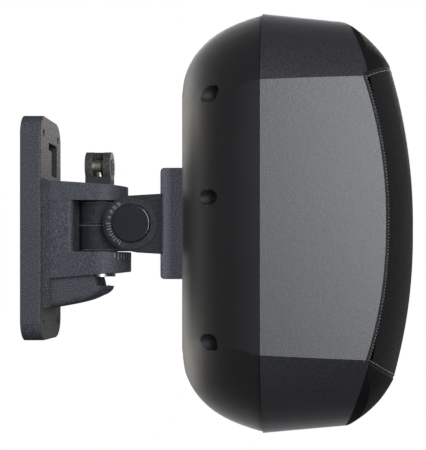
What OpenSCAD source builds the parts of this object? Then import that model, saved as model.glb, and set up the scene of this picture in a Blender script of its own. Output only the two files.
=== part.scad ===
// Surface-mount two-way speaker on a pan and tilt yoke bracket.
// Millimetres. Origin: centre of the wall plate's back face. +X points out of the wall, +Z up.

/* [Wall bracket] */
// Height of the wall plate
plate_h = 173; // [166:1:185]
// Width of the wall plate
plate_w = 70; // [68:1:84]
// Thickness of the wall plate
plate_t = 15.5; // [14:0.5:18]
// Corner radius of the wall plate
plate_corner = 16; // [12:1:18]
// Wall of the hollow plate
plate_wall = 4; // [3:0.5:5]
// Half the spacing of the wall screws across
screw_half_y = 24; // [22:0.5:26]
// Half the spacing of the wall screws up and down
screw_half_z = 73; // [71:0.5:74]
// Hole for a wall screw, diameter
screw_hole = 5.5; // [4.5:0.5:6.5]
// Distance of the pan axis from the wall
pan_x = 54; // [53:0.5:56]
// Half the width of the yoke arms
arm_half_w = 24.5; // [23:0.5:25]

/* [Joints] */
// Distance of the tilt axis from the pan axis
tilt_reach = 28.8; // [28:0.2:30]
// Height of the tilt axis over the plate's centre
tilt_z = 3.4; // [3:0.1:4]
// Radius of the knuckle's hub
hub_r = 15.8; // [14.8:0.2:16]
// Radius of the jaws round the tilt spindle
jaw_r = 17; // [16:0.2:17.2]
// Radius of the tilt spindle
spindle_r = 8; // [7:0.25:9]
// Radius of the pan bolt
bolt_r = 4; // [3:0.25:4.5]
// Running clearance on a radius
run_fit = 0.05; // [0.02:0.01:0.08]
// Gap between faces that slide past each other
side_gap = 0.4; // [0.3:0.05:0.5]
// Radius of the cam lobes
cam_r = 11.6; // [11:0.2:12]
// Width of the cam over both lobes
cam_w = 19.8; // [18:0.2:21]

/* [Cabinet] */
// Height of the front shell at the seam
cab_h = 326; // [310:2:340]
// Width of the front shell at the seam
cab_w = 214; // [206:2:222]
// Distance of the cabinet's back from the wall
back_x = 124; // [123:0.5:127]
// Depth of the rear shell
rear_depth = 59.5; // [57:0.5:62]
// Whole depth of the cabinet
cab_depth = 176.4; // [174:0.4:180]
// Radius of the arch over the top, seen from the front
arch_r = 118; // [116:1:122]
// Wall of the shells
shell_wall = 3.5; // [2.5:0.25:4]
// How far the front shell stands proud at the seam
lip = 1; // [0.5:0.25:1.5]
// Draft of the front shell's sides, degrees
side_draft = 7.5; // [6:0.25:8.5]
// Draft of the front shell's top and bottom, degrees
top_draft = 5.2; // [4:0.2:6]
// Height of the bezel over the grille at its middle
bezel_h = 42.6; // [41:0.2:46]
// Thickness of the grille's sheet
grille_t = 1.5; // [1:0.1:1.6]

/* [Drivers] */
// Radius of the woofer's flange
woofer_r = 82; // [78:0.5:84]
// Radius of the woofer's magnet
magnet_r = 45; // [40:1:50]
// Radius of the voice coil's former
coil_r = 13; // [12:0.25:14]
// Radius of the tweeter's face plate
tweeter_r = 35; // [32:0.5:37]
// Inner radius of the port tube
port_r = 18; // [15:0.5:20]

/* [Hidden] */
$fn = 96;
big = 400;
tiny = 0.1;

// Bracket
plate_edge = 1.5;
pedestal_x = plate_t + 4;
pedestal_half_w = arm_half_w + 0.5;
pedestal_z = [-61, 37];
pedestal_flare = 5;
web_half_w = arm_half_w - 1;
web_round = 4;
slot_y = [1.5, 20];
slot_z = [42, 61.5, 67.5];
slot_wide_y = -8;
slot_wall = 2.2;
arm_under = 21.6;
arm_top_root = 36.9;
arm_top_end = 32.9;
lower_top = -18.2;
lower_bottom_root = -39.2;
lower_bottom_end = -33.3;
upper_end_r = 22.2;
lower_end_r = arm_half_w;
web_x = pan_x - 16.5;
hood_half_w = 20;
hood_wall = 2.6;
hood_round = 5;
hood_slope = 14.4;
hood_low = [19.1, -61.7];
washer_r = 14;
washer_t = 1;
head_t = 3;
head_r = 12.2;
head_z = -37.3;
hub_low = lower_top + washer_t + tiny;
hub_high = arm_under - washer_t - 0.2 - tiny;
split_gap = 1;
tilt_x = pan_x + tilt_reach;
jaw_half_w = hub_r;
ear_in = jaw_half_w + side_gap;
ear_out = 25.5;
ear_r = 21.4;
barrel_z = 49.2;
barrel_r = 6;
seat_r = 8.5;
neck_x = tilt_x + 21.6;
neck_half_h = 22.8;
block_half_w = 24;
block_half_h = 42.7;
block_round = 3.5;
cap_r = 14.6;
dial_r = 19.9;
dial_t = 1.2;
cap_t = 3.8;

// Cabinet
seam_x = back_x + rear_depth;
front_x = back_x + cab_depth;
arch_off = cab_h / 2 - arch_r;
back_arch_r = arch_r - 52.5;
back_half_w = cab_w / 2 - 59;
rear_arc_r = 88;
rear_side_r = 71;
face_r = 171.4;
front_axis_x = front_x - face_r;
face_rise_r = 412;
bezel_r = 92;
grille_half_h = cab_h / 2 - bezel_h;
bezel_depth = 37.915;
bezel_drop = 5.5;
bezel_root = [face_r - face_rise_r + sqrt(pow(face_rise_r, 2) - pow(grille_half_h, 2)),
  grille_half_h];
bezel_top = [bezel_root[0] - bezel_depth, cab_h / 2 - bezel_drop];
face_straight = grille_half_h - 25;
grille_arch_r = 258;
grille_rim = 2.2;
grille_ledge = 5;
grille_gap = 0.15;
seat_inset = 0.4;
baffle_depth = 62.5;
baffle_x = seam_x + baffle_depth;
baffle_t = 6;
baffle_face = baffle_x + baffle_t;
recess_r = 6;
recess_in = 19;
recess_top = 76;
recess_low = 77;
recess_mid = 15;
recess_y = cab_w / 2 - recess_in;
recess_z = [cab_h / 2 - recess_top, recess_mid, recess_low - cab_h / 2];
recess_floor = back_x + 34;
neck_screw_y = 15;
neck_screw_z = 32;

// Drivers and port on the baffle
driver_gap = 11.6;
woofer_drop = 40;
woofer_z = tilt_z - woofer_drop;
tweeter_y = -34;
tweeter_z = woofer_z + sqrt(pow(woofer_r + tweeter_r + driver_gap, 2) - pow(tweeter_y, 2));
port_y = 42;
port_drop = 6;
port_z = tweeter_z - port_drop;
port_length = 76;
flange_t = 3;
basket_wall = 2.5;
land_w = 12;
roll_r = 4.8;
roll_wall = 0.7;
surround_r = woofer_r - land_w - roll_r - 0.1;
cone_r = surround_r - roll_r - 0.3;
yoke_t = 6;
magnet_t = 14;
gap_plate_t = 5;
motor_x = baffle_face - 72;
magnet_x = motor_x + yoke_t;
gap_plate_x = magnet_x + magnet_t;
motor_front = gap_plate_x + gap_plate_t;
coil_gap = 0.7;
coil_front = motor_front + 23;
spider_x = motor_front + 7;
spider_r = magnet_r + 3.5;

// Crossover and terminals
board_x = back_x + shell_wall + 4;
board_t = 1.6;
board_half_w = 38;
board_z = tilt_z + 46;
board_h = 44;
cup_z = tilt_z - 75;
cup_half_w = 29.8;
cup_half_h = 18.8;
cup_depth = 22;
cup_wall = 2.4;
post_y = 12;

// Centre of the circle of radius r through p and q, on the left of the way from p to q
function arc_centre(p, q, r) =
  let (d = q - p, m = (p + q) / 2, n = norm(d), k = sqrt(r * r - n * n / 4) / n)
  [m[0] - d[1] * k, m[1] + d[0] * k];

// Half width of the front shell at a distance from the wall
function side_at(x) = cab_w / 2 - (x - seam_x) * tan(side_draft);

// Cylinder along X from x0 to x1
module along_x(x0, x1, r, y = 0, z = 0) {
  translate([x0, y, z]) rotate([0, 90, 0]) cylinder(r = r, h = x1 - x0);
}

// Cylinder along Y from y0 to y1
module along_y(y0, y1, r, x = 0, z = 0) {
  translate([x, y0, z]) rotate([-90, 0, 0]) cylinder(r = r, h = y1 - y0);
}

// Profile in X and Z, extruded over a half width each way
module side_profile(half_w) {
  rotate([90, 0, 0]) linear_extrude(height = 2 * half_w, center = true) children();
}

// Shape turned about an axis along X: its profile holds radius and x
module turned_x(y = 0, z = 0) {
  translate([0, y, z]) rotate([0, 90, 0]) rotate_extrude() children();
}

// Rectangle from one corner to the other
module box2(a, b) {
  translate(a) square(b - a);
}

// Section of a slab whose two front edges are round
module edged_section(half, t, e) {
  union() {
    box2([-half, 0], [half, t - e]);
    box2([-half + e, 0], [half - e, t]);
    for (s = [-1, 1]) translate([s * (half - e), t - e]) circle(r = e);
  }
}

// Slab with round corners and round front edges, its back face on X = 0
module edged_slab(h, w, t, r, e) {
  rotate([90, 0, 90]) union() {
    for (y = [-1, 1], z = [-1, 1])
      translate([y * (w / 2 - r), z * (h / 2 - r), 0]) rotate_extrude()
        intersection() {
          box2([0, 0], [r, t]);
          edged_section(r, t, e);
        }
    translate([0, h / 2 - r, 0]) rotate([90, 0, 0])
      linear_extrude(height = h - 2 * r) edged_section(w / 2, t, e);
    translate([-w / 2 + r, 0, 0]) rotate([90, 0, 90])
      linear_extrude(height = w - 2 * r) edged_section(h / 2, t, e);
  }
}

// Plain prism with round corners along X
module round_prism(h, w, r, x0, x1) {
  translate([x0, 0, 0]) rotate([90, 0, 90]) linear_extrude(height = x1 - x0) union() {
    box2([-w / 2 + r, -h / 2], [w / 2 - r, h / 2]);
    box2([-w / 2, -h / 2 + r], [w / 2, h / 2 - r]);
    for (y = [-1, 1], z = [-1, 1]) translate([y * (w / 2 - r), z * (h / 2 - r)]) circle(r = r);
  }
}

// Outline of a yoke arm from above, with a round end about the pan axis
module arm_plan(r, root) {
  intersection() {
    union() {
      translate([pan_x, 0]) circle(r = r);
      polygon([[plate_t - 1, -root], [pan_x, -r], [pan_x, r], [plate_t - 1, root]]);
    }
    box2([plate_t - 1, -big], [big, big]);
  }
}

module yoke_arms() {
  intersection() {
    side_profile(big) polygon([
      [plate_t - 1, arm_under - 1], [pan_x - hub_r - 1, arm_under], [pan_x + hub_r + 1, arm_under],
      [pan_x + 25, arm_under + 2.4], [pan_x + 25, arm_top_end], [plate_t - 1, arm_top_root]
    ]);
    translate([0, 0, -big / 2]) linear_extrude(height = big)
      arm_plan(upper_end_r, arm_half_w);
  }
  intersection() {
    side_profile(big) polygon([
      [plate_t - 1, lower_top], [pan_x + 26, lower_top], [pan_x + 26, lower_bottom_end],
      [plate_t - 1, lower_bottom_root]
    ]);
    translate([0, 0, -big / 2]) linear_extrude(height = big)
      arm_plan(lower_end_r, web_half_w);
  }
}

// Foot of the yoke, flared on all sides towards the plate
module pedestal() {
  intersection() {
    translate([0, 0, -big / 2]) linear_extrude(height = big) polygon([
      [plate_t - 1, -pedestal_half_w - pedestal_flare], [pedestal_x, -pedestal_half_w],
      [pedestal_x, pedestal_half_w], [plate_t - 1, pedestal_half_w + pedestal_flare]
    ]);
    side_profile(big) polygon([
      [plate_t - 1, pedestal_z[0] - 1], [pedestal_x, pedestal_z[0]],
      [pedestal_x, pedestal_z[1]], [plate_t - 1, pedestal_z[1] + 1]
    ]);
  }
}

// Web between the arms, its two front edges round
module web() {
  translate([0, 0, lower_top - 1]) linear_extrude(height = arm_under - lower_top + 1.5) union() {
    box2([plate_t - 1, -web_half_w], [web_x - web_round, web_half_w]);
    box2([plate_t - 1, web_round - web_half_w], [web_x, web_half_w - web_round]);
    for (s = [-1, 1]) translate([web_x - web_round, s * (web_half_w - web_round)])
      circle(r = web_round);
  }
}

// Stepped cable slot over the upper arm, grown by t
module cable_slot(x0, x1, t) {
  translate([x0, slot_wide_y - t, slot_z[1] - t])
    cube([x1 - x0, slot_y[1] - slot_wide_y + 2 * t, slot_z[2] - slot_z[1] + 2 * t]);
  translate([x0, slot_y[0] - t, slot_z[0] - t])
    cube([x1 - x0, slot_y[1] - slot_y[0] + 2 * t, slot_z[1] - slot_z[0] + 2 * t]);
}

module wall_plate() {
  color([0.17, 0.18, 0.2]) difference() {
    union() {
      difference() {
        edged_slab(plate_h, plate_w, plate_t, plate_corner, plate_edge);
        round_prism(plate_h - 2 * plate_wall, plate_w - 2 * plate_wall, plate_corner - plate_wall,
          -1, plate_t - plate_wall);
      }
      for (y = [-1, 1], z = [-1, 1])
        along_x(0, plate_t - 1, screw_hole / 2 + 3.5, y * screw_half_y, z * screw_half_z);
      // Collar that leads the cable through the plate
      cable_slot(0.5, plate_t - 1, slot_wall);
      pedestal();
      yoke_arms();
      web();
    }
    // Relief behind the knuckle's hub
    translate([pan_x, 0, lower_top]) cylinder(r = hub_r + 1.2, h = arm_under - lower_top);
    // Wall screw holes
    for (y = [-1, 1], z = [-1, 1])
      along_x(-1, plate_t + 1, screw_hole / 2, y * screw_half_y, z * screw_half_z);
    // Pan bolt holes, with a spot face for its head
    translate([pan_x, 0, -60]) cylinder(r = bolt_r + run_fit, h = 120);
    translate([pan_x, 0, head_z - 10]) cylinder(r = head_r + 0.4, h = head_t + 10);
    cable_slot(-1, plate_t + 1, 0);
    // Cable way into the hood
    translate([0, -12, -57]) cube([pedestal_x + 1, 24, 15]);
  }
}

// Trough with round lower edges that slopes up from the plate, its walls t inside the outer ones
module hood_trough(t) {
  w = hood_half_w - t;
  e = hood_round - t;
  translate([hood_low[0], 0, hood_low[1] + t]) rotate([90, 0, 90]) rotate([-hood_slope, 0, 0])
    translate([0, 0, -20]) linear_extrude(height = 100) union() {
      box2([-w, e], [w, 60]);
      box2([e - w, 0], [w - e, e + 1]);
      for (s = [-1, 1]) translate([s * (w - e), e]) circle(r = e);
    }
}

// Cable trough under the lower arm, closed up to the arm, with a hooked lip at its open end
module cable_hood() {
  slope = (lower_bottom_end - lower_bottom_root) / (pan_x + 26 - plate_t + 1);
  top = [for (x = [pedestal_x, 57]) lower_bottom_root + slope * (x - plate_t + 1) - 0.3];
  color([0.15, 0.16, 0.18]) difference() {
    intersection() {
      side_profile(hood_half_w) polygon([
        [pedestal_x, top[0]], [pedestal_x, -63], [58, -51.9], [62.4, -50.6], [66, -49],
        [68.4, -47], [69.2, -45], [68.3, -44.2], [67, -44.7], [65.2, -45.2], [63.2, -44.8],
        [61.7, -43.2], [60.8, -40.8], [59.5, -38.4], [57, top[1]]
      ]);
      hood_trough(0);
    }
    intersection() {
      hood_trough(hood_wall);
      side_profile(hood_half_w) polygon([
        [pedestal_x - 1, -20], [pedestal_x - 1, -64], [58, -51.9 + hood_wall],
        [62.4, -50.6 + hood_wall], [66, -48.9 + hood_wall], [72, -42.6], [72, -20]
      ]);
    }
  }
}

module pan_bolt() {
  color([0.3, 0.31, 0.33]) union() {
    translate([pan_x, 0, head_z]) cylinder(r = head_r, h = head_t);
    translate([pan_x, 0, head_z]) cylinder(r = bolt_r, h = barrel_z - head_z + 2);
  }
}

module washer(z, t) {
  color([0.6, 0.6, 0.58]) translate([pan_x, 0, z]) difference() {
    cylinder(r = washer_r, h = t);
    translate([0, 0, -1]) cylinder(r = bolt_r + 0.2, h = t + 2);
  }
}

module lower_washer() {
  washer(lower_top, washer_t);
}

module upper_washer() {
  washer(arm_under - washer_t, washer_t);
}

// Follower under the cam, hollowed to the cam's own curve
module cam_seat() {
  color([0.25, 0.26, 0.28]) translate([pan_x, 0, 0]) difference() {
    translate([0, 0, arm_top_end]) cylinder(r = seat_r, h = barrel_z - cam_r + 1.5 - arm_top_end);
    translate([-cam_w / 2 - 1, 0, barrel_z]) rotate([0, 90, 0])
      cylinder(r = cam_r + 0.3, h = cam_w + 2);
    cylinder(r = bolt_r + 0.2, h = 2 * barrel_z);
    // Sloping top of the arm
    side_profile(20) polygon([
      [plate_t - pan_x - 1, arm_top_end - 5], [plate_t - pan_x - 1, arm_top_root],
      [25, arm_top_end], [25, arm_top_end - 5]
    ]);
  }
}

module cam_barrel() {
  color([0.72, 0.55, 0.25]) difference() {
    along_x(pan_x - cam_w / 2, pan_x + cam_w / 2, barrel_r, 0, barrel_z);
    translate([pan_x, 0, barrel_z - 10]) cylinder(r = bolt_r + 0.02, h = 12.1);
  }
}

// Two lobes about the barrel and a grip that curves down over the arm
module cam_lever() {
  slot = 2 * bolt_r + 0.4;
  grip_w = 9;
  grip_x = pan_x - 7;
  color([0.2, 0.2, 0.22]) difference() {
    union() {
      along_x(pan_x - cam_w / 2, pan_x + cam_w / 2, cam_r, 0, barrel_z);
      translate([grip_x, 0, 0]) rotate([90, 0, 90]) linear_extrude(height = grip_w)
        polygon([[0, barrel_z + cam_r - 0.6], [12, barrel_z + 6.6], [22, barrel_z + 2.6],
          [34, barrel_z - 0.6], [44, barrel_z - 4], [46.5, barrel_z - 6.6], [45, barrel_z - 9],
          [32, barrel_z - 6.4], [20, barrel_z - 4.6], [8, barrel_z - 6]]);
    }
    // Slot that the bolt swings in
    translate([pan_x - slot / 2, -cam_r - 1, barrel_z - cam_r - 1])
      cube([slot, 2 * cam_r - 1, 2 * cam_r + 2]);
    // Bore for the barrel
    along_x(pan_x - cam_w, pan_x + cam_w, barrel_r + run_fit, 0, barrel_z);
  }
}

module knuckle_form() {
  difference() {
    union() {
      translate([pan_x, 0, hub_low]) cylinder(r = hub_r, h = hub_high - hub_low);
      translate([pan_x, -jaw_half_w, hub_low]) cube([tilt_reach, 2 * jaw_half_w, hub_high - hub_low]);
      along_y(-jaw_half_w, jaw_half_w, jaw_r, tilt_x, tilt_z);
    }
    translate([pan_x, 0, -60]) cylinder(r = bolt_r + run_fit, h = 120);
    along_y(-30, 30, spindle_r + run_fit, tilt_x, tilt_z);
    // Corners beyond the jaws
    difference() {
      translate([tilt_x - 1, -30, -30]) cube([40, 60, 80]);
      along_y(-31, 31, jaw_r, tilt_x, tilt_z);
    }
  }
}

module knuckle_upper() {
  color([0.16, 0.17, 0.19]) intersection() {
    knuckle_form();
    translate([0, -big / 2, tilt_z + split_gap / 2]) cube([big, big, big]);
  }
}

module knuckle_lower() {
  color([0.16, 0.17, 0.19]) intersection() {
    knuckle_form();
    translate([0, -big / 2, tilt_z - split_gap / 2 - big]) cube([big, big, big]);
  }
}

// Rectangle from the neck to the cabinet with two round corners
module block_outline(half) {
  e = block_round;
  union() {
    box2([neck_x + e, -half], [back_x, half]);
    box2([neck_x, e - half], [back_x, half - e]);
    for (s = [-1, 1]) translate([neck_x + e, s * (half - e)]) circle(r = e);
  }
}

module tilt_neck() {
  color([0.15, 0.16, 0.18]) difference() {
    union() {
      // Ears and neck
      along_y(-ear_out, ear_out, ear_r, tilt_x, tilt_z);
      translate([0, 0, tilt_z]) side_profile(ear_out) polygon([
        [tilt_x, -ear_r], [neck_x + 2, -neck_half_h], [neck_x + 2, neck_half_h], [tilt_x, ear_r]
      ]);
      // Speaker-side block, its wall-side edges round
      intersection() {
        translate([0, 0, tilt_z]) side_profile(block_half_w + 1) block_outline(block_half_h);
        translate([0, 0, -big / 2]) linear_extrude(height = big) block_outline(block_half_w);
      }
    }
    // Slot of the fork
    translate([0, -ear_in, tilt_z - 60]) cube([tilt_x + jaw_r + 1.2, 2 * ear_in, 120]);
    // Spindle bore
    along_y(-30, 30, spindle_r + 0.02, tilt_x, tilt_z);
    // Screw pockets for the cabinet's screws
    for (y = [-1, 1], z = [-1, 1])
      along_x(back_x - 12, back_x + 1, 2.1, y * neck_screw_y, tilt_z + z * neck_screw_z);
  }
}

module tilt_spindle() {
  color([0.5, 0.5, 0.52]) along_y(-ear_out, ear_out, spindle_r, tilt_x, tilt_z);
}

module dial_ring(s) {
  color([0.22, 0.23, 0.25]) translate([tilt_x, s * ear_out, tilt_z]) rotate([-90 * s, 0, 0])
    difference() {
      cylinder(r = dial_r, h = dial_t);
      translate([0, 0, -1]) cylinder(r = cap_r + 0.4, h = dial_t + 2);
    }
}

module dial_ring_near() {
  dial_ring(-1);
}

module dial_ring_far() {
  dial_ring(1);
}

module tilt_cap(s) {
  color([0.1, 0.1, 0.11]) translate([tilt_x, s * ear_out, tilt_z]) rotate([-90 * s, 0, 0])
    rotate_extrude() union() {
      box2([0, 0], [cap_r, cap_t - 1.2]);
      box2([0, 0], [cap_r - 1.2, cap_t]);
      translate([cap_r - 1.2, cap_t - 1.2]) circle(r = 1.2);
    }
}

module tilt_cap_near() {
  tilt_cap(-1);
}

module tilt_cap_far() {
  tilt_cap(1);
}

// Plan of the rear shell, inset by t and reaching past the seam when it is a cavity
module rear_plan(t) {
  c = arc_centre([seam_x, cab_w / 2 - lip], [back_x, back_half_w], rear_side_r);
  intersection() {
    box2([back_x + t, -big], [seam_x + (t > 0 ? 1 : 0), big]);
    union() {
      for (s = [-1, 1]) translate([c[0], s * c[1]]) circle(r = rear_side_r - t);
      box2([back_x, -c[1]], [seam_x + 2, c[1]]);
    }
  }
}

// Radius and x of the rear shell's arch, inset by t
module rear_arch(t) {
  c = arc_centre([back_arch_r, back_x], [arch_r - lip, seam_x], rear_arc_r);
  intersection() {
    box2([0, back_x - 1], [big, seam_x + 2]);
    union() {
      translate(c) circle(r = rear_arc_r - t);
      box2([0, back_x - 1], [c[0], seam_x + 2]);
    }
  }
}

module rear_form(t) {
  intersection() {
    translate([0, 0, tilt_z - big / 2]) linear_extrude(height = big) rear_plan(t);
    union() {
      for (s = [-1, 1]) turned_x(0, tilt_z + s * arch_off) rear_arch(t);
      translate([0, -big / 2, tilt_z - arch_off]) cube([big, big, 2 * arch_off]);
    }
  }
}

// Sides of the front shell, from above, inset by t
module front_plan(t, x0) {
  polygon([
    [x0, -side_at(x0) + t], [front_x + 2, -side_at(front_x + 2) + t],
    [front_x + 2, side_at(front_x + 2) - t], [x0, side_at(x0) - t]
  ]);
}

// Radius and height of the curved front, turned about an upright axis inside the cabinet
module front_face(t) {
  c = arc_centre(bezel_root, bezel_top, bezel_r);
  intersection() {
    box2([0, -big / 2], [big, big / 2]);
    translate([face_r - face_rise_r, 0]) circle(r = face_rise_r - t, $fn = 200);
    union() {
      box2([0, -face_straight], [big, face_straight]);
      box2([0, -big / 2], [c[0], big / 2]);
      for (s = [-1, 1]) intersection() {
        translate([c[0], s * c[1]]) circle(r = bezel_r - t);
        box2([0, s > 0 ? 0 : -big / 2], [big, s > 0 ? big / 2 : 0]);
      }
    }
  }
}

module front_form(t) {
  x0 = seam_x - (t > 0 ? 1 : 0);
  r0 = arch_r - t - (x0 - seam_x) * tan(top_draft);
  r1 = arch_r - t - (front_x + 2 - seam_x) * tan(top_draft);
  intersection() {
    translate([0, 0, tilt_z - big / 2]) linear_extrude(height = big) front_plan(t, x0);
    union() {
      for (s = [-1, 1]) turned_x(0, tilt_z + s * arch_off)
        polygon([[0, x0], [r0, x0], [r1, front_x + 2], [0, front_x + 2]]);
      translate([0, -big / 2, tilt_z - arch_off]) cube([big, big, 2 * arch_off]);
    }
    translate([front_axis_x, 0, tilt_z]) rotate_extrude() front_face(t);
  }
}

// Outline of the grille from the front: straight sides, arched top and bottom
module grille_outline(t) {
  translate([seam_x + 20, 0, tilt_z]) rotate([90, 0, 90]) linear_extrude(height = 200)
    intersection() {
      translate([0, grille_half_h - grille_arch_r]) circle(r = grille_arch_r - t, $fn = 200);
      translate([0, grille_arch_r - grille_half_h]) circle(r = grille_arch_r - t, $fn = 200);
    }
}

// Upright prism between the cabinet's sides, inset by t
module side_prism(t) {
  translate([0, 0, tilt_z - big / 2]) linear_extrude(height = big) front_plan(t, seam_x + 20);
}

module rear_shell() {
  color([0.07, 0.07, 0.08]) difference() {
    union() {
      difference() {
        rear_form(0);
        rear_form(shell_wall);
      }
      // Screw towers
      intersection() {
        rear_form(shell_wall / 2);
        for (s = [-1, 1], z = recess_z)
          along_x(back_x, seam_x, recess_r + 2.5, s * recess_y, tilt_z + z);
      }
      // Posts under the crossover board
      for (y = [-1, 1], z = [5, board_h - 5])
        along_x(back_x + 1, board_x, 3, y * (board_half_w - 6), board_z + z);
    }
    // Screw recesses, open to the back, and the screw holes in their floors
    for (s = [-1, 1], z = recess_z) {
      along_x(back_x - 1, recess_floor, recess_r, s * recess_y, tilt_z + z);
      along_x(recess_floor - 1, seam_x + 2, 2.2, s * recess_y, tilt_z + z);
    }
    // Holes for the neck's screws
    for (y = [-1, 1], z = [-1, 1])
      along_x(back_x - 1, back_x + shell_wall + 1, 2.2, y * neck_screw_y, tilt_z + z * neck_screw_z);
    // Opening for the terminal cup
    translate([back_x - 1, -cup_half_w - 0.2, cup_z - cup_half_h - 0.2])
      cube([shell_wall + 2, 2 * cup_half_w + 0.4, 2 * cup_half_h + 0.4]);
  }
}

module front_shell() {
  color([0.16, 0.16, 0.17]) difference() {
    union() {
      difference() {
        front_form(0);
        front_form(shell_wall);
      }
      // Ledge that carries the baffle
      intersection() {
        front_form(shell_wall / 2);
        difference() {
          translate([baffle_x - 4, -big / 2, -big / 2]) cube([4, big, big]);
          front_form(shell_wall + 7);
        }
      }
      // Bosses for the cabinet's screws
      intersection() {
        front_form(shell_wall / 2);
        for (s = [-1, 1], z = recess_z) union() {
          along_x(seam_x, seam_x + 16, 5.5, s * recess_y, tilt_z + z);
          translate([seam_x, s > 0 ? recess_y : -cab_w / 2, tilt_z + z - 1.5])
            cube([16, cab_w / 2 - recess_y, 3]);
        }
      }
    }
    for (s = [-1, 1], z = recess_z)
      along_x(seam_x - 1, seam_x + 14, 1.9, s * recess_y, tilt_z + z);
    // Seat of the grille
    intersection() {
      grille_outline(seat_inset);
      side_prism(grille_rim);
      difference() {
        translate([seam_x + 20, -big / 2, -big / 2]) cube([big, big, big]);
        translate([front_axis_x, 0, tilt_z]) rotate_extrude() front_face(grille_t + grille_gap);
      }
    }
    // Opening behind the grille
    intersection() {
      grille_outline(grille_ledge);
      side_prism(grille_rim + grille_ledge);
      translate([baffle_x, -big / 2, -big / 2]) cube([big, big, big]);
    }
  }
}

module seam_gasket() {
  color([0.2, 0.2, 0.2]) intersection() {
    difference() {
      front_form(shell_wall + tiny);
      front_form(shell_wall + 2.4);
    }
    difference() {
      translate([seam_x, -big / 2, -big / 2]) cube([3, big, big]);
      for (z = recess_z) translate([seam_x - 1, -big / 2, tilt_z + z - 1.6]) cube([16, big, 3.2]);
    }
  }
}

module cabinet_screws() {
  color([0.4, 0.4, 0.42]) for (s = [-1, 1], z = recess_z) difference() {
    union() {
      along_x(recess_floor - 3, recess_floor, 4.2, s * recess_y, tilt_z + z);
      along_x(recess_floor - 1, seam_x + 12, 1.8, s * recess_y, tilt_z + z);
    }
    translate([recess_floor - 3.5, s * recess_y - 0.6, tilt_z + z - 2.5]) cube([2, 1.2, 5]);
    translate([recess_floor - 3.5, s * recess_y - 2.5, tilt_z + z - 0.6]) cube([2, 5, 1.2]);
  }
}

module neck_screws() {
  color([0.5, 0.5, 0.5]) for (y = [-1, 1], z = [-1, 1]) union() {
    along_x(back_x - 10, back_x + shell_wall + 1, 2, y * neck_screw_y, tilt_z + z * neck_screw_z);
    along_x(back_x + shell_wall, back_x + shell_wall + 3, 4.5, y * neck_screw_y,
      tilt_z + z * neck_screw_z);
  }
}

module grille() {
  color([0.1, 0.1, 0.1]) intersection() {
    translate([front_axis_x, 0, tilt_z]) difference() {
      rotate_extrude() front_face(0);
      rotate_extrude() front_face(grille_t);
    }
    grille_outline(seat_inset + grille_gap);
    side_prism(grille_rim + grille_gap);
    translate([seam_x + 20, -big / 2, -big / 2]) cube([big, big, big]);
  }
}

module baffle() {
  color([0.13, 0.13, 0.13]) difference() {
    intersection() {
      front_form(shell_wall + 0.2);
      translate([baffle_x, -big / 2, -big / 2]) cube([baffle_t, big, big]);
    }
    along_x(baffle_x - 1, baffle_face + 1, woofer_r - 9, 0, woofer_z);
    along_x(baffle_x - 1, baffle_face + 1, tweeter_r - 7, tweeter_y, tweeter_z);
    along_x(baffle_x - 1, baffle_face + 1, port_r + 2.2, port_y, port_z);
  }
}

// Screws round a driver's flange
module flange_screws(n, r, y, z, x) {
  for (i = [0:n - 1]) {
    a = (i + 0.5) * 360 / n;
    along_x(x, x + 2, 3.2, y + r * cos(a), z + r * sin(a));
  }
}

module baffle_screws() {
  color([0.25, 0.25, 0.25]) union() {
    flange_screws(8, woofer_r - 4.5, 0, woofer_z, baffle_face + flange_t);
    flange_screws(4, tweeter_r - 4, tweeter_y, tweeter_z, baffle_face + 2.5);
  }
}

module woofer_frame() {
  land_r = woofer_r - land_w;
  color([0.2, 0.2, 0.2]) difference() {
    turned_x(0, woofer_z) polygon([
      [woofer_r, baffle_face], [woofer_r, baffle_face + flange_t],
      [land_r, baffle_face + flange_t], [land_r, baffle_face - 2], [magnet_r + 4, spider_x + 1],
      [magnet_r + 4, spider_x - run_fit], [magnet_r - 3, spider_x - run_fit],
      [magnet_r - 3, motor_front + 1.5], [magnet_r - 17, motor_front + 1.5],
      [magnet_r - 17, motor_front], [magnet_r + 2, motor_front],
      [land_r + basket_wall, baffle_face - 4], [land_r + basket_wall, baffle_face]
    ]);
    // Windows between the spokes
    for (i = [0:5]) translate([0, 0, woofer_z]) rotate([i * 60, 0, 0])
      translate([motor_front + 9, -13, magnet_r - 15])
        cube([baffle_face - 21 - motor_front, 26, woofer_r - 22]);
  }
}

module woofer_back_plate() {
  color([0.35, 0.35, 0.36]) union() {
    along_x(motor_x, magnet_x, magnet_r - 3, 0, woofer_z);
    along_x(magnet_x, motor_front, coil_r - coil_gap, 0, woofer_z);
  }
}

module woofer_magnet() {
  color([0.12, 0.12, 0.12]) turned_x(0, woofer_z)
    box2([coil_r + 5, magnet_x], [magnet_r, gap_plate_x]);
}

module woofer_front_plate() {
  color([0.35, 0.35, 0.36]) turned_x(0, woofer_z)
    box2([coil_r + coil_gap, gap_plate_x], [magnet_r - 3, motor_front]);
}

module voice_coil() {
  color([0.7, 0.45, 0.2]) turned_x(0, woofer_z)
    box2([coil_r - 0.3, motor_front - 11], [coil_r + 0.3, coil_front]);
}

// Cone with a flat rim under the surround's inner lip
module woofer_cone() {
  rim_x = baffle_face + 2.2;
  color([0.15, 0.15, 0.16]) turned_x(0, woofer_z) polygon([
    [coil_r + 0.35, coil_front - 4], [coil_r + 1.3, coil_front - 4], [cone_r - 4, rim_x - 1],
    [cone_r, rim_x - 1], [cone_r, rim_x], [cone_r - 4.6, rim_x], [coil_r + 0.35, coil_front - 2]
  ]);
}

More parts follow.
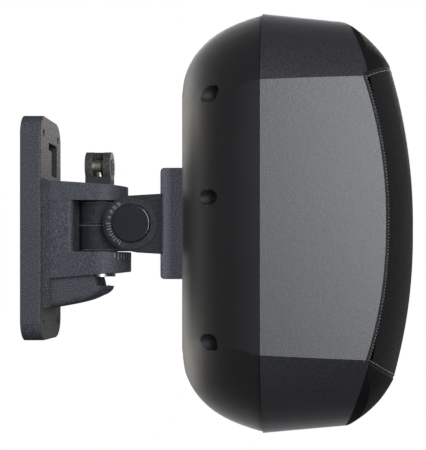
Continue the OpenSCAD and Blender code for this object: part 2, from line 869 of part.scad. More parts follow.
module dust_cap() {
  dome_r = coil_r + 9;
  dome_x = coil_front - 14;
  color([0.1, 0.1, 0.1]) turned_x(0, woofer_z) intersection() {
    difference() {
      translate([0, dome_x]) circle(r = dome_r);
      translate([0, dome_x]) circle(r = dome_r - 1);
    }
    box2([0, coil_front + 0.3], [dome_r, coil_front + 12]);
  }
}

// Half roll with one lip on the frame's land and one on the cone's rim
module woofer_surround() {
  roll_x = baffle_face + flange_t + run_fit;
  color([0.05, 0.05, 0.05]) turned_x(0, woofer_z) union() {
    intersection() {
      difference() {
        translate([surround_r, roll_x]) circle(r = roll_r);
        translate([surround_r, roll_x]) circle(r = roll_r - roll_wall);
      }
      box2([0, roll_x], [woofer_r, roll_x + roll_r + 1]);
    }
    box2([surround_r + roll_r - roll_wall, roll_x], [woofer_r - 8.2, roll_x + roll_wall]);
    box2([cone_r - 3.5, baffle_face + 2.25], [cone_r + 1, roll_x + 0.2]);
  }
}

module woofer_spider() {
  color([0.6, 0.5, 0.3]) turned_x(0, woofer_z)
    box2([coil_r + 0.6, spider_x], [spider_r, spider_x + 0.8]);
}

module tweeter_plate() {
  color([0.12, 0.12, 0.12]) turned_x(tweeter_y, tweeter_z) polygon([
    [14, baffle_face - 1], [tweeter_r - 8, baffle_face - 1], [tweeter_r - 8, baffle_face],
    [tweeter_r, baffle_face], [tweeter_r, baffle_face + 2.5], [24, baffle_face + 2.5]
  ]);
}

module tweeter_dome() {
  color([0.3, 0.3, 0.32]) turned_x(tweeter_y, tweeter_z) intersection() {
    difference() {
      translate([0, baffle_face - 9]) circle(r = 16);
      translate([0, baffle_face - 9]) circle(r = 15.4);
    }
    box2([0, baffle_face - 1], [16, baffle_face + 20]);
  }
}

module tweeter_magnet() {
  color([0.2, 0.2, 0.2]) along_x(baffle_face - 21, baffle_face - 1, 26, tweeter_y, tweeter_z);
}

module port_tube() {
  color([0.1, 0.1, 0.1]) turned_x(port_y, port_z) union() {
    box2([port_r, baffle_face + 2 - port_length], [port_r + 2, baffle_face + 2]);
    box2([port_r, baffle_face], [port_r + 5, baffle_face + 2]);
  }
}

module crossover_board() {
  color([0.1, 0.3, 0.15]) translate([board_x, -board_half_w, board_z])
    cube([board_t, 2 * board_half_w, board_h]);
}

module crossover_coils() {
  color([0.7, 0.4, 0.15]) for (y = [-22, 16]) turned_x(y, board_z + 14)
    box2([5, board_x + board_t], [12, board_x + board_t + 12]);
}

module crossover_capacitors() {
  color([0.2, 0.3, 0.5]) for (y = [-20, 2, 24])
    along_y(y - 8, y + 8, 5, board_x + board_t + 5, board_z + 34);
}

module terminal_cup() {
  color([0.08, 0.08, 0.08]) translate([back_x, 0, cup_z]) difference() {
    union() {
      translate([-1.5, -cup_half_w - 3.2, -cup_half_h - 3.2])
        cube([1.5, 2 * cup_half_w + 6.4, 2 * cup_half_h + 6.4]);
      translate([0, -cup_half_w, -cup_half_h]) cube([cup_depth, 2 * cup_half_w, 2 * cup_half_h]);
    }
    translate([-2, cup_wall - cup_half_w, cup_wall - cup_half_h])
      cube([cup_depth - 0.4, 2 * (cup_half_w - cup_wall), 2 * (cup_half_h - cup_wall)]);
    for (y = [-1, 1]) along_x(10, cup_depth + 8, 3, y * post_y, 0);
  }
}

module binding_posts() {
  color([0.75, 0.6, 0.3]) for (y = [-1, 1]) union() {
    along_x(back_x + 3, back_x + cup_depth - 2.5, 5.5, y * post_y, cup_z);
    along_x(back_x + 3, back_x + cup_depth + 8, 2.9, y * post_y, cup_z);
  }
}

wall_plate();
cable_hood();
pan_bolt();
lower_washer();
upper_washer();
cam_seat();
cam_barrel();
cam_lever();
knuckle_upper();
knuckle_lower();
tilt_neck();
tilt_spindle();
dial_ring_near();
dial_ring_far();
tilt_cap_near();
tilt_cap_far();
neck_screws();
rear_shell();
front_shell();
seam_gasket();
cabinet_screws();
grille();
baffle();
baffle_screws();
woofer_frame();
woofer_back_plate();
woofer_magnet();
woofer_front_plate();
voice_coil();
woofer_cone();
dust_cap();
woofer_surround();
woofer_spider();
tweeter_plate();
tweeter_dome();
tweeter_magnet();
port_tube();
crossover_board();
crossover_coils();
crossover_capacitors();
terminal_cup();
binding_posts();
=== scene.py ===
"""Looks of a surface-mount speaker on its wall bracket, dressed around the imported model."""
import logging
import math
from dataclasses import dataclass
from enum import Enum
from typing import Callable, Iterable, Sequence

import bmesh
import bpy
from mathutils import Matrix, Vector


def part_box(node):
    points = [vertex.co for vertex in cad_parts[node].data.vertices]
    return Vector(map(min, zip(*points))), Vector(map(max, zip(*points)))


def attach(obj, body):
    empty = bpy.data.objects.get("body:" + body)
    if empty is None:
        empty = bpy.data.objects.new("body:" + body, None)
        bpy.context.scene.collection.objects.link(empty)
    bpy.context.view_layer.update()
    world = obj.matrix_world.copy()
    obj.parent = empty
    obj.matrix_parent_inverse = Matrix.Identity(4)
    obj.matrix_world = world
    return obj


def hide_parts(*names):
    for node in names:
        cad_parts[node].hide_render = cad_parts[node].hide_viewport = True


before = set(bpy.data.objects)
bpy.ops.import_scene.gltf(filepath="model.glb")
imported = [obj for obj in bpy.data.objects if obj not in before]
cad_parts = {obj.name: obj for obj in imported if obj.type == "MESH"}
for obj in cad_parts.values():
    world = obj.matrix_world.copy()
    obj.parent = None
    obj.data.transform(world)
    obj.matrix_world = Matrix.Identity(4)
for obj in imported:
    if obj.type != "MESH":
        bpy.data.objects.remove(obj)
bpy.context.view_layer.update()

log = logging.getLogger("speaker")

Rgb = tuple[float, float, float]
MM = 0.001
HEXAGON = tuple(math.radians(60 * k) for k in range(6))


class Body(Enum):
    """The moving groups that new pieces ride on."""

    BRACKET = "wall_bracket"
    LEVER = "lever"
    KNUCKLE = "knuckle"
    SPEAKER = "speaker"


class Side(Enum):
    """The two sides of the cabinet: near is the one that the photograph shows."""

    NEAR = -1
    FAR = 1


class Socket:
    """One node output that takes part in Python expressions."""

    def __init__(self, graph: "Graph", link: bpy.types.NodeSocket) -> None:
        """Keep the node output and the graph that it belongs to."""
        self.graph = graph
        self.link = link

    def __add__(self, other: "Operand") -> "Socket":
        """Sum of two values or colours."""
        return self.graph.combine("ADD", self, other)

    __radd__ = __add__

    def __mul__(self, other: "Operand") -> "Socket":
        """Product of two values or colours."""
        return self.graph.combine("MULTIPLY", self, other)

    __rmul__ = __mul__


Operand = Socket | float | Rgb


class Graph:
    """The node tree of one material, with its Principled shader."""

    def __init__(self, name: str) -> None:
        """Start a material of that name.

        Args:
            name: the material's name.
        """
        self.material = bpy.data.materials.new(name)
        self.material.use_nodes = True
        self.tree = self.material.node_tree
        self.shader = self.tree.nodes["Principled BSDF"]

    def make(self, kind: str, settings: dict | None = None, inputs: dict | None = None,
             output: int | str = 0) -> Socket:
        """Add a node.

        Args:
            kind: the node's type.
            settings: attributes to set first; "stops" fills a colour ramp.
            inputs: values or sockets, by input name or number.
            output: which output to return.

        Returns:
            The chosen output as a socket.
        """
        node = self.tree.nodes.new(kind)
        for key, value in (settings or {}).items():
            if key == "stops":
                self._fill_ramp(node.color_ramp, value)
            else:
                setattr(node, key, value)
        for key, value in (inputs or {}).items():
            self.feed(node.inputs[key], value)
        return Socket(self, node.outputs[output])

    @staticmethod
    def _fill_ramp(ramp: bpy.types.ColorRamp, stops: Sequence[tuple[float, float]]) -> None:
        """Give a colour ramp grey stops, each a position and a level."""
        while len(ramp.elements) < len(stops):
            ramp.elements.new(1.0)
        for element, (position, level) in zip(ramp.elements, stops):
            element.position = position
            element.color = (level, level, level, 1.0)

    def feed(self, target: bpy.types.NodeSocket, value: Operand) -> None:
        """Link a socket to an input, or set the input's own value."""
        if isinstance(value, Socket):
            self.tree.links.new(value.link, target)
        elif target.type == "RGBA":
            rgb = value if isinstance(value, tuple) else (value,) * 3
            target.default_value = (*rgb, 1.0)
        else:
            target.default_value = value

    def combine(self, operation: str, a: Operand, b: Operand) -> Socket:
        """Add the node that an operator stands for.

        Args:
            operation: ADD or MULTIPLY.
            a: left operand.
            b: right operand.

        Returns:
            The result: a value or a colour, as the operands are.
        """
        kinds = {s.link.type for s in (a, b) if isinstance(s, Socket)}
        if "RGBA" in kinds:
            return self.mix(1.0, a, b, operation)
        return self.make("ShaderNodeMath", {"operation": operation}, {0: a, 1: b})

    def mix(self, factor: Operand, a: Operand, b: Operand, blend: str = "MIX") -> Socket:
        """Blend two colours by a factor."""
        return self.make("ShaderNodeMix", {"data_type": "RGBA", "blend_type": blend},
                         {0: factor, 6: a, 7: b}, output=2)

    def coordinates(self) -> Socket:
        """The object's own coordinates, in metres."""
        return self.make("ShaderNodeTexCoord", output="Object")

    def noise(self, scale: float, detail: float = 2.0, roughness: float = 0.5) -> Socket:
        """Noise of a number of features a metre."""
        return self.make("ShaderNodeTexNoise", {"noise_dimensions": "3D"},
                         {"Vector": self.coordinates(), "Scale": scale, "Detail": detail,
                          "Roughness": roughness})

    def ramp(self, value: Socket, stops: Sequence[tuple[float, float]]) -> Socket:
        """Shape a value by grey stops."""
        return self.make("ShaderNodeValToRGB", {"stops": stops}, {0: value})

    def bump(self, height: Socket, distance: float, strength: float = 1.0,
             under: Socket | None = None) -> Socket:
        """Turn a height into a normal, over another bump where one is given."""
        inputs = {"Height": height, "Distance": distance, "Strength": strength}
        if under is not None:
            inputs["Normal"] = under
        return self.make("ShaderNodeBump", None, inputs)

    def shade(self, **sockets: Operand) -> bpy.types.Material:
        """Feed the shader's sockets, with underscores for the blanks in their names.

        Returns:
            The finished material.
        """
        for key, value in sockets.items():
            self.feed(self.shader.inputs[key.replace("_", " ")], value)
        return self.material


@dataclass(frozen=True)
class Finish:
    """A surface finish that comes in one material."""

    name: str
    colour: Rgb
    roughness: float

    def _tinted(self, graph: Graph, spread: float, scale: float) -> Socket:
        """The finish's colour with slow, faint variation."""
        patch = graph.noise(scale, 3.0)
        dark = tuple(c * (1 - spread) for c in self.colour)
        light = tuple(c * (1 + spread) for c in self.colour)
        return graph.mix(patch, dark, light)

    def build(self) -> bpy.types.Material:
        """Make the material."""
        graph = Graph(self.name)
        return graph.shade(Base_Color=self._tinted(graph, 0.1, 60.0), Roughness=self.roughness)


@dataclass(frozen=True)
class TexturedPlastic(Finish):
    """Moulded plastic with a fine spark-eroded texture."""

    grain: float = 1000.0
    depth: float = 0.00008
    sheen: float = 0.3
    gloss: float = 0.5

    def build(self) -> bpy.types.Material:
        """Make the material: fine grain in colour, roughness and bump."""
        graph = Graph(self.name)
        fine = graph.noise(self.grain, 4.0, 0.6)
        coarse = graph.noise(self.grain * 0.3, 2.0)
        speck = graph.ramp(fine, [(0.36, 0.6), (0.64, 1.4)])
        colour = self._tinted(graph, 0.16, 14.0) * speck
        rough = (fine * 0.16) + (self.roughness - 0.08)
        rough_up = graph.bump(coarse, self.depth * 0.8, 0.6)
        normal = graph.bump(fine, self.depth, 1.0, rough_up)
        return graph.shade(Base_Color=colour, Roughness=rough, Normal=normal,
                           Specular_IOR_Level=self.gloss,
                           Sheen_Weight=self.sheen, Sheen_Roughness=0.3)


@dataclass(frozen=True)
class SatinPlastic(Finish):
    """Smooth moulded plastic with a soft gloss and faint ripples."""

    coat: float = 0.0
    sheen: float = 0.0

    def build(self) -> bpy.types.Material:
        """Make the material: very shallow waviness, faint handling haze."""
        graph = Graph(self.name)
        haze = graph.noise(45.0, 4.0, 0.6)
        fine = graph.noise(700.0, 2.0)
        rough = (haze * 0.1) + (self.roughness - 0.05)
        normal = graph.bump(fine, 0.00001, 0.4)
        return graph.shade(Base_Color=self._tinted(graph, 0.08, 12.0), Roughness=rough,
                           Normal=normal, Coat_Weight=self.coat, Coat_Roughness=0.2,
                           Sheen_Weight=self.sheen, Sheen_Roughness=0.3)


@dataclass(frozen=True)
class PowderCoat(Finish):
    """Die-cast metal under a fine speckled powder coat."""

    gloss: float = 0.28

    def build(self) -> bpy.types.Material:
        """Make the material: speckle in colour, roughness and bump over orange peel."""
        graph = Graph(self.name)
        grit = graph.noise(1000.0, 3.0, 0.65)
        peel = graph.noise(380.0, 2.0)
        speck = graph.ramp(grit, [(0.34, 0.55), (0.5, 0.95), (0.68, 2.0)])
        colour = self._tinted(graph, 0.1, 40.0) * speck
        rough = (grit * 0.2) + (self.roughness - 0.1)
        normal = graph.bump(grit, 0.00008, 0.9, graph.bump(peel, 0.00012, 0.5))
        return graph.shade(Base_Color=colour, Roughness=rough, Normal=normal,
                           Specular_IOR_Level=self.gloss)


@dataclass(frozen=True)
class Metal(Finish):
    """Bare or plated metal with fine turning marks."""

    marks: float = 900.0

    def build(self) -> bpy.types.Material:
        """Make the material: metallic with scratched roughness."""
        graph = Graph(self.name)
        scratch = graph.noise(self.marks, 5.0, 0.7)
        rough = (scratch * 0.25) + (self.roughness - 0.1)
        normal = graph.bump(scratch, 0.00002, 0.5)
        return graph.shade(Base_Color=self._tinted(graph, 0.15, 150.0), Roughness=rough,
                           Metallic=1.0, Normal=normal)


@dataclass(frozen=True)
class PressedPulp(Finish):
    """Paper pulp, cloth or foam with fibres."""

    fibres: float = 700.0

    def build(self) -> bpy.types.Material:
        """Make the material: matt with a fibrous bump."""
        graph = Graph(self.name)
        fibre = graph.noise(self.fibres, 6.0, 0.75)
        colour = self._tinted(graph, 0.2, 90.0) * graph.ramp(fibre, [(0.3, 0.7), (0.7, 1.25)])
        return graph.shade(Base_Color=colour, Roughness=self.roughness,
                           Normal=graph.bump(fibre, 0.0002, 0.7))


FRONT_PLASTIC = TexturedPlastic("front_plastic", (0.018, 0.018, 0.021), 0.41)
# Black bezel plastic; the same black, carried out to the crease line, is painted shade of the
# crease.
BEZEL_AND_SHADE_PLASTIC = TexturedPlastic("bezel_and_shade_plastic", (0.006, 0.0059, 0.0056), 0.5, sheen=0.0,
                               gloss=0.12)
REAR_PLASTIC = SatinPlastic("rear_plastic", (0.009, 0.009, 0.0095), 0.45, sheen=0.4)
CAP_PLASTIC = SatinPlastic("cap_plastic", (0.011, 0.0115, 0.0145), 0.27, 0.3)
INNER_PLASTIC = SatinPlastic("inner_plastic", (0.008, 0.008, 0.0085), 0.6)
BRACKET_COAT = PowderCoat("bracket_coat", (0.034, 0.0355, 0.043), 0.6)
# Darker copy of the bracket coat for the clamp halves: painted shade under the upper arm.
KNUCKLE_SHADE_COAT = PowderCoat("knuckle_painted_shade", (0.013, 0.0135, 0.0165), 0.5)
# Darker coat for the neck: painted shade where it is partly shadowed.
NECK_SHADE_COAT = PowderCoat("neck_painted_shade", (0.011, 0.0115, 0.014), 0.6)
# Much lighter copy of the neck's coat for the block: painted light where the cabinet shades the
# block.
BLOCK_LIGHT_COAT = PowderCoat("block_painted_light", (0.09, 0.092, 0.11), 0.55)
DIAL_COAT = PowderCoat("dial_coat", (0.016, 0.0165, 0.02), 0.48)
# Lighter coat for rounded edges: worn powder coat, and partly a painted highlight along the
# edges.
EDGE_WEAR_AND_LIGHT_COAT = PowderCoat("edge_wear_and_highlight", (0.075, 0.078, 0.09), 0.5)
# Lighter, warmer coat for the plate's front: a painted highlight of the light that it reflects at
# a grazing angle.
PLATE_FACE_LIGHT_COAT = PowderCoat("plate_face_painted_highlight", (0.062, 0.06, 0.056), 0.5)
LEVER_COAT = PowderCoat("lever_coat", (0.035, 0.033, 0.032), 0.36)
MARK_PAINT = SatinPlastic("mark_paint", (0.17, 0.175, 0.19), 0.5)
# Light paint for the rim's pips: painted glints.
PIP_GLINT_PAINT = SatinPlastic("pip_painted_glint", (0.36, 0.36, 0.36), 0.4)
PIN_METAL = Metal("pin_metal", (0.52, 0.45, 0.37), 0.34)
GRILLE_PAINT = SatinPlastic("grille_paint", (0.01, 0.01, 0.0105), 0.42)
STEEL = Metal("steel", (0.5, 0.5, 0.51), 0.3)
DARK_STEEL = Metal("dark_steel", (0.12, 0.12, 0.125), 0.42)
BRASS = Metal("brass", (0.46, 0.33, 0.16), 0.36)
COPPER = Metal("copper", (0.62, 0.28, 0.12), 0.35)
FERRITE = PressedPulp("ferrite", (0.035, 0.035, 0.037), 0.7)
RUBBER = PressedPulp("rubber", (0.012, 0.012, 0.012), 0.65, 400.0)
CONE_PULP = PressedPulp("cone_pulp", (0.02, 0.02, 0.022), 0.75)
SPIDER_CLOTH = PressedPulp("spider_cloth", (0.45, 0.3, 0.1), 0.8, 1200.0)
BOARD = SatinPlastic("board", (0.02, 0.1, 0.045), 0.45)
CAPACITOR_SLEEVE = SatinPlastic("capacitor_sleeve", (0.02, 0.05, 0.22), 0.35)


class Workshop:
    """Keeps each finish's material and puts pieces into the scene."""

    def __init__(self) -> None:
        """Start with no material made."""
        self._made: dict[str, bpy.types.Material] = {}

    def material(self, finish: Finish) -> bpy.types.Material:
        """The material of a finish, made on first use."""
        if finish.name not in self._made:
            self._made[finish.name] = finish.build()
        return self._made[finish.name]

    def paint(self, piece: bpy.types.Object, finish: Finish) -> None:
        """Give a piece one finish all over."""
        piece.data.materials.clear()
        piece.data.materials.append(self.material(finish))

    def dress(self, node: str, finish: Finish) -> None:
        """Give a CAD node's object its finish."""
        self.paint(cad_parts[node], finish)
        log.info("dressed %s with %s", node, finish.name)

    def place(self, piece: bpy.types.Object, body: Body, slot: str,
              replaces: Iterable[str] = ()) -> bpy.types.Object:
        """Let a new piece ride on its body and stand for the nodes that it replaces.

        Args:
            piece: the object, in place in the frame.
            body: the body that it moves with.
            slot: not used.
            replaces: nodes that it stands for.

        Returns:
            The piece.
        """
        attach(piece, body.value)
        if replaces:
            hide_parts(*replaces)
        log.info("placed %s on %s", piece.name, body.value)
        return piece

    def from_mesh(self, name: str, bm: bmesh.types.BMesh, finish: Finish,
                  smooth_angle: float = 35.0) -> bpy.types.Object:
        """Turn an edited mesh into an object.

        Args:
            name: the piece's name.
            bm: the mesh, which is freed.
            finish: its finish.
            smooth_angle: edges sharper than this stay sharp, in degrees.

        Returns:
            The object, linked to the scene.
        """
        mesh = bpy.data.meshes.new(name)
        bm.to_mesh(mesh)
        bm.free()
        piece = bpy.data.objects.new(name, mesh)
        bpy.context.scene.collection.objects.link(piece)
        mesh.shade_smooth()
        mesh.set_sharp_from_angle(angle=math.radians(smooth_angle))
        self.paint(piece, finish)
        return piece

    def soften(self, node: str, name: str, width: float, finish: Finish, body: Body,
               slot: str, crease: float = 32.0,
               reshape: Callable[[bmesh.types.BMesh], None] | None = None) -> bpy.types.Object:
        """Stand a copy of a node with rounded edges in its place.

        Args:
            node: the CAD node.
            name: the new piece's name.
            width: edge radius in metres.
            finish: its finish.
            body: the body that it moves with.
            slot: passed on to place.
            crease: edges sharper than this are rounded, in degrees.
            reshape: what to do to the copy's mesh before its edges are rounded.

        Returns:
            The rounded piece.
        """
        bm = bmesh.new()
        bm.from_mesh(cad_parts[node].data)
        bmesh.ops.remove_doubles(bm, verts=bm.verts, dist=1e-6)
        bmesh.ops.dissolve_limit(bm, angle_limit=math.radians(0.4), verts=bm.verts,
                                 edges=bm.edges)
        if reshape:
            reshape(bm)
        piece = self.from_mesh(name, bm, finish, 30.0)
        bevel = piece.modifiers.new("edges", "BEVEL")
        bevel.width = width
        bevel.segments = 2
        bevel.limit_method = "ANGLE"
        bevel.angle_limit = math.radians(crease)
        bevel.use_clamp_overlap = True
        # The rounded edges take a lighter coat: partly wear, partly painted highlight.
        if isinstance(finish, PowderCoat):
            piece.data.materials.append(self.material(EDGE_WEAR_AND_LIGHT_COAT))
            bevel.material = 1
        even = piece.modifiers.new("even_shade", "WEIGHTED_NORMAL")
        even.mode = "FACE_AREA_WITH_ANGLE"
        even.weight = 100
        even.keep_sharp = True
        self._apply(piece)
        return self.place(piece, body, slot, [node])

    def line(self, piece: bpy.types.Object, finish: Finish,
             inside: Callable[[bpy.types.MeshPolygon], bool]) -> None:
        """Give a second finish to the faces that a test picks."""
        piece.data.materials.append(self.material(finish))
        for face in piece.data.polygons:
            if inside(face):
                face.material_index = len(piece.data.materials) - 1

    def swept(self, name: str, outline: Sequence[tuple[float, float]], x0: float, x1: float,
              finish: Finish) -> bpy.types.Object:
        """Solid of one side outline, run along X.

        Args:
            name: the piece's name.
            outline: its corners as sideways and upward places, in order.
            x0: where it starts.
            x1: where it ends.
            finish: its finish.

        Returns:
            The object.
        """
        bm = bmesh.new()
        ends = [[bm.verts.new((x, y, z)) for y, z in outline] for x in (x0, x1)]
        for k in range(len(outline)):
            n = (k + 1) % len(outline)
            bm.faces.new((ends[0][k], ends[0][n], ends[1][n], ends[1][k]))
        for end in ends:
            bm.faces.new(end)
        bmesh.ops.recalc_face_normals(bm, faces=bm.faces)
        return self.from_mesh(name, bm, finish, 30.0)

    @staticmethod
    def _apply(piece: bpy.types.Object) -> None:
        """Make a piece's modifiers part of its mesh."""
        depsgraph = bpy.context.evaluated_depsgraph_get()
        mesh = bpy.data.meshes.new_from_object(piece.evaluated_get(depsgraph))
        piece.modifiers.clear()
        piece.data = mesh


@dataclass
class Cabinet:
    """The two shells, the grille and what is behind it."""

    shop: Workshop
    face_r: float = 171.4 * MM
    rise_r: float = 412 * MM
    # Where the black of the front begins: the bezel, and past it painted shade of the crease.
    bezel_shade_start: float = 283.6 * MM
    bezel_shade_lean: float = 0.24
    bezel_shade_low: float = 96 * MM
    full_fill_x: float = 243 * MM
    grille_half_h: float = 120.4 * MM
    grille_arch_r: float = 258 * MM
    side_draft: float = math.radians(7.5)
    hole_pitch: float = 2.5 * MM
    hole_r: float = 0.85 * MM
    sheet_t: float = 0.9 * MM
    rim_w: float = 1.5 * MM
    lip_sink: float = 0.35 * MM
    rim_lift: float = 0.12 * MM
    rim_steps: int = 60
    rim_inset: float = 2.5 * MM
    lip_inset: float = 0.3 * MM
    hole_inset: float = 2.75 * MM
    pip_pitch: float = 2.3 * MM
    pip_r: float = 0.36 * MM
    rear_edge: float = 0.5 * MM
    front_edge: float = 1.8 * MM
    corner_start: float = 60 * MM
    corner_run: float = 60 * MM
    corner_gain: float = 0.085
    front_fill: tuple[tuple[float, float], ...] = (
        (-163, 1.0), (-152, 1.6), (-145, 2.6), (-135, 3.0), (-126, 2.6), (-98, 1.9),
        (-67, 1.3), (-35, 0.5), (-6, -0.2), (20, -0.2), (125, 0.0), (136, -1.1),
        (142, -2.1), (148, -4.0), (152, -4.9), (158, -3.2), (163, -2.0))

    def __post_init__(self) -> None:
        """Take the cabinet's places from the frame."""
        low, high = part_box("front_shell")
        self.seam_x = low.x
        self.half_w = high.y
        self.centre_z = (low.z + high.z) / 2
        self.front_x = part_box("grille")[1].x
        self.axis_x = self.front_x - self.face_r
        self.grille_half_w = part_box("grille")[1].y

    def face_radius(self, z: float) -> float:
        """Radius of the curved front about its upright axis, at a height from the middle."""
        return self.face_r - self.rise_r + math.sqrt(self.rise_r ** 2 - z * z)

    def fill(self, z: float) -> float:
        """How far the real front stands off the plain arc at a height from the middle."""
        height = z / MM
        for (z0, d0), (z1, d1) in zip(self.front_fill, self.front_fill[1:]):
            if height <= z1:
                return (d0 + (d1 - d0) * max(height - z0, 0.0) / (z1 - z0)) * MM
        return self.front_fill[-1][1] * MM

    def side_at(self, x: float) -> float:
        """Half width of the front shell at a distance from the wall."""
        return self.half_w - (x - self.seam_x) * math.tan(self.side_draft)

    def on_face(self, y: float, z: float, sink: float = 0.0) -> Vector:
        """Point of the curved front.

        Args:
            y: sideways place.
            z: height from the cabinet's middle.
            sink: depth under the surface.

        Returns:
            The point in the frame.
        """
        r = self.face_radius(z) - sink
        return Vector((self.axis_x + math.sqrt(max(r * r - y * y, 0.0)) + self.fill(z), y,
                       self.centre_z + z))

    def grille_top(self, y: float, inset: float) -> float:
        """Height of the grille's arched edge over the middle."""
        r = self.grille_arch_r - inset
        return self.grille_half_h - self.grille_arch_r + math.sqrt(r * r - y * y)

    def grille_side(self, z: float, inset: float) -> float:
        """Half width of the grille at a height from the middle."""
        y = self.grille_half_w
        for _ in range(6):
            y = self.side_at(self.on_face(y, z).x - self.fill(z)) - inset
        return y

    def _build_grille(self) -> None:
        """Perforated sheet with a plain rim, in place of the plain sheet."""
        bm = bmesh.new()
        corners: dict[tuple[int, int], bmesh.types.BMVert] = {}
        column = self.hole_pitch * math.sqrt(3) / 2
        cell_r = self.hole_pitch / math.sqrt(3)
        reach = int(math.asin(self.grille_half_w / self.face_r) * self.face_r / column) + 1
        rows = int(self.grille_half_h / self.hole_pitch) + 1
        for i in range(-reach, reach + 1):
            for j in range(-rows, rows + 1):
                s = i * column
                z = (j + (i % 2) / 2) * self.hole_pitch
                if self._holds(s, z, self.hole_inset):
                    self._add_cell(bm, corners, s, z, cell_r)
        piece = self.shop.from_mesh("grille_mesh", bm, GRILLE_PAINT, 40.0)
        self.shop.place(piece, Body.SPEAKER, "grille_steel", ["grille"])
        self._build_rim()

    def _holds(self, s: float, z: float, inset: float) -> bool:
        """Whether a hole at an arc length and height lies inside the grille's outline."""
        y = self.face_radius(z) * math.sin(s / self.face_r)
        return abs(z) < self.grille_top(y, inset) and abs(y) < self.grille_side(z, inset)

    def _sheet_point(self, s: float, z: float, sink: float) -> Vector:
        """Point of the sheet at an arc length and height."""
        r = self.face_radius(z) - sink
        turn = s / self.face_r
        return Vector((self.axis_x + r * math.cos(turn) + self.fill(z), r * math.sin(turn),
                       self.centre_z + z))

    def _add_cell(self, bm: bmesh.types.BMesh, corners: dict, s: float, z: float,
                  cell_r: float) -> None:
        """Add one six-sided cell of the sheet with its hole and the hole's wall."""
        ring = []
        for a in HEXAGON:
            cs, cz = s + cell_r * math.cos(a), z + cell_r * math.sin(a)
            key = (round(cs * 1e6), round(cz * 1e6))
            key = (round(key[0] / 20), round(key[1] / 20))
            if key not in corners:
                corners[key] = bm.verts.new(self._sheet_point(cs, cz, 0.0))
            ring.append(corners[key])
        hole, wall = ([bm.verts.new(self._sheet_point(s + self.hole_r * math.cos(a),
                                                      z + self.hole_r * math.sin(a), sink))
                       for a in HEXAGON] for sink in (0.0, self.sheet_t))
        for k in range(6):
            n = (k + 1) % 6
            bm.faces.new((ring[k], ring[n], hole[n], hole[k]))
            bm.faces.new((hole[k], hole[n], wall[n], wall[k]))

    def _build_rim(self) -> None:
        """Plain border that closes the sheet's edge."""
        lip, outer, inner = [], [], []
        steps = self.rim_steps
        for inset, ring in ((self.lip_inset, lip), (self.rim_inset, outer),
                            (self.rim_inset + self.rim_w, inner)):
            top_y = self._corner_y(inset)
            for k in range(steps + 1):
                y = -top_y + 2 * top_y * k / steps
                ring.append((y, self.grille_top(y, inset)))
            top_z = self.grille_top(top_y, inset)
            for k in range(1, steps):
                z = top_z - 2 * top_z * k / steps
                ring.append((self.grille_side(z, inset), z))
            for k in range(steps + 1):
                y = top_y - 2 * top_y * k / steps
                ring.append((y, -self.grille_top(y, inset)))
            for k in range(1, steps):
                z = -top_z + 2 * top_z * k / steps
                ring.append((-self.grille_side(z, inset), z))
        bm = bmesh.new()
        lift = self.rim_lift
        loops = [[bm.verts.new(self.on_face(y, z, sink)) for y, z in ring]
                 for ring, sink in ((lip, self.sheet_t), (lip, self.lip_sink),
                                    (outer, self.lip_sink), (outer, -lift), (inner, -lift),
                                    (inner, self.sheet_t))]
        count = len(outer)
        for a, b in zip(loops, loops[1:]):
            for k in range(count):
                n = (k + 1) % count
                bm.faces.new((a[k], a[n], b[n], b[k]))
        bmesh.ops.recalc_face_normals(bm, faces=bm.faces)
        piece = self.shop.from_mesh("grille_rim", bm, GRILLE_PAINT, 40.0)
        self.shop.place(piece, Body.SPEAKER, "grille_steel")
        # Light pips along the rim: painted glints.
        self._build_pips([self.on_face(y0 * 0.5 + y1 * 0.5, z0 * 0.5 + z1 * 0.5, -lift)
                          for (y0, z0), (y1, z1) in zip(outer, inner)])

    def _build_pips(self, path: Sequence[Vector]) -> None:
        """Row of small pips in light paint along the middle of the rim: painted glints of light
        along the grille's edge.

        Args:
            path: corners of the closed line that they follow.
        """
        bm = bmesh.new()
        carried = 0.0
        for a, b in zip(path, [*path[1:], path[0]]):
            along = b - a
            out = Vector((a.x - self.axis_x, a.y, 0.0)).normalized()
            side = out.cross(along).normalized()
            ahead = side.cross(out)
            while carried < along.length:
                centre = a + along.normalized() * carried
                foot = [bm.verts.new(centre + (ahead * math.cos(a) + side * math.sin(a))
                                     * self.pip_r) for a in HEXAGON]
                tip = bm.verts.new(centre + out * self.pip_r * 0.5)
                for k in range(6):
                    bm.faces.new((foot[k], foot[(k + 1) % 6], tip))
                carried += self.pip_pitch
            carried -= along.length
        bmesh.ops.recalc_face_normals(bm, faces=bm.faces)
        piece = self.shop.from_mesh("grille_painted_glints", bm, PIP_GLINT_PAINT, 60.0)
        self.shop.place(piece, Body.SPEAKER, "grille_steel")

    def _corner_y(self, inset: float) -> float:
        """Half width of the grille where its side meets its arch."""
        z = self.grille_top(self.grille_half_w, inset)
        for _ in range(6):
            z = self.grille_top(self.grille_side(z, inset), inset)
        return self.grille_side(z, inset)

    def _dress(self) -> None:
        """Finish the shells and everything inside."""
        self.shop.soften("rear_shell", "rear_moulding", self.rear_edge, REAR_PLASTIC,
                         Body.SPEAKER, "rear_plastic", 30.0, self._fill_corners)
        front = self.shop.soften("front_shell", "front_moulding", self.front_edge,
                                 FRONT_PLASTIC, Body.SPEAKER, "front_plastic", 14.0,
                                 self._shape_front)
